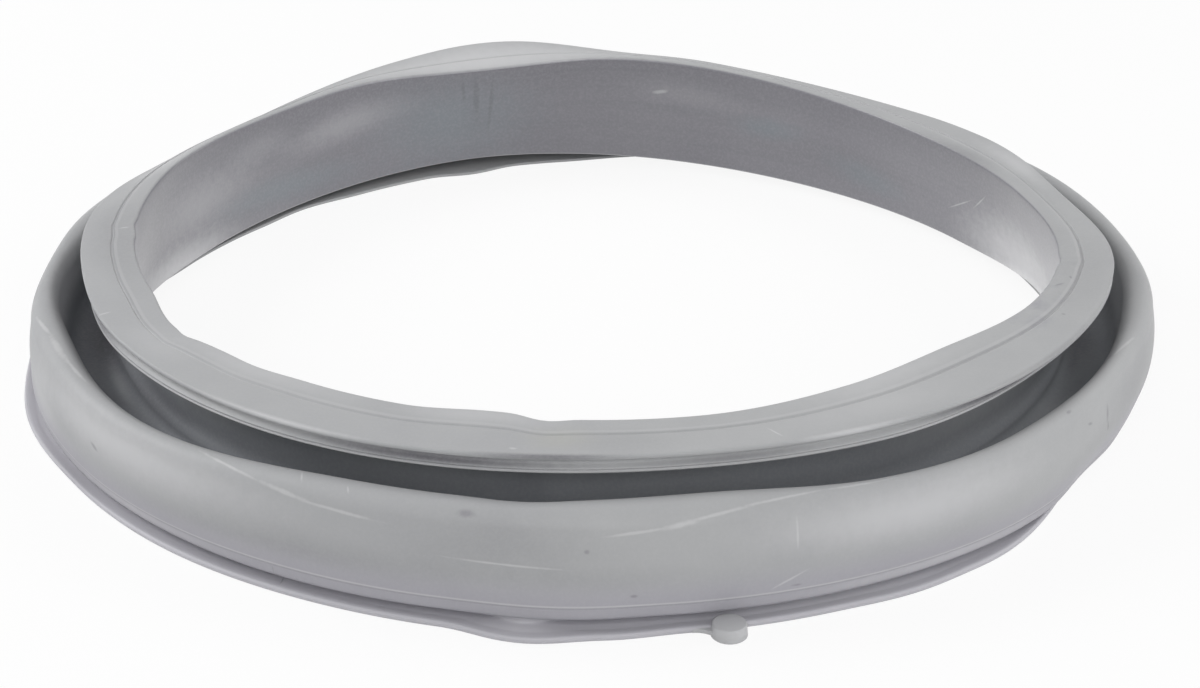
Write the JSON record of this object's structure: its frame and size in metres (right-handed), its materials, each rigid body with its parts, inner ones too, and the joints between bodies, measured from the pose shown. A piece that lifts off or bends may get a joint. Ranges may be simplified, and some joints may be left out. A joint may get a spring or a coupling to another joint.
{
  "type": "washing machine door seal",
  "caption": "Round grey rubber bellows seal for a front-loading washing machine: clamped collar, sleeve, folded channel, outer roll, panel slot with bead, and a locating lug.",
  "frame": {"origin": "middle of the seal's box, in the plane of the foot's flat underside", "axes": "+Z runs along the ring's axis from the front panel side up to the tub side; the locating lug is near -Y"},
  "size_m": [0.375, 0.3784, 0.0476],
  "materials": {
    "grey_rubber": "satin"
  },
  "bodies": {
    "root": {"door_seal": "grey_rubber"}
  },
  "joints": []
}
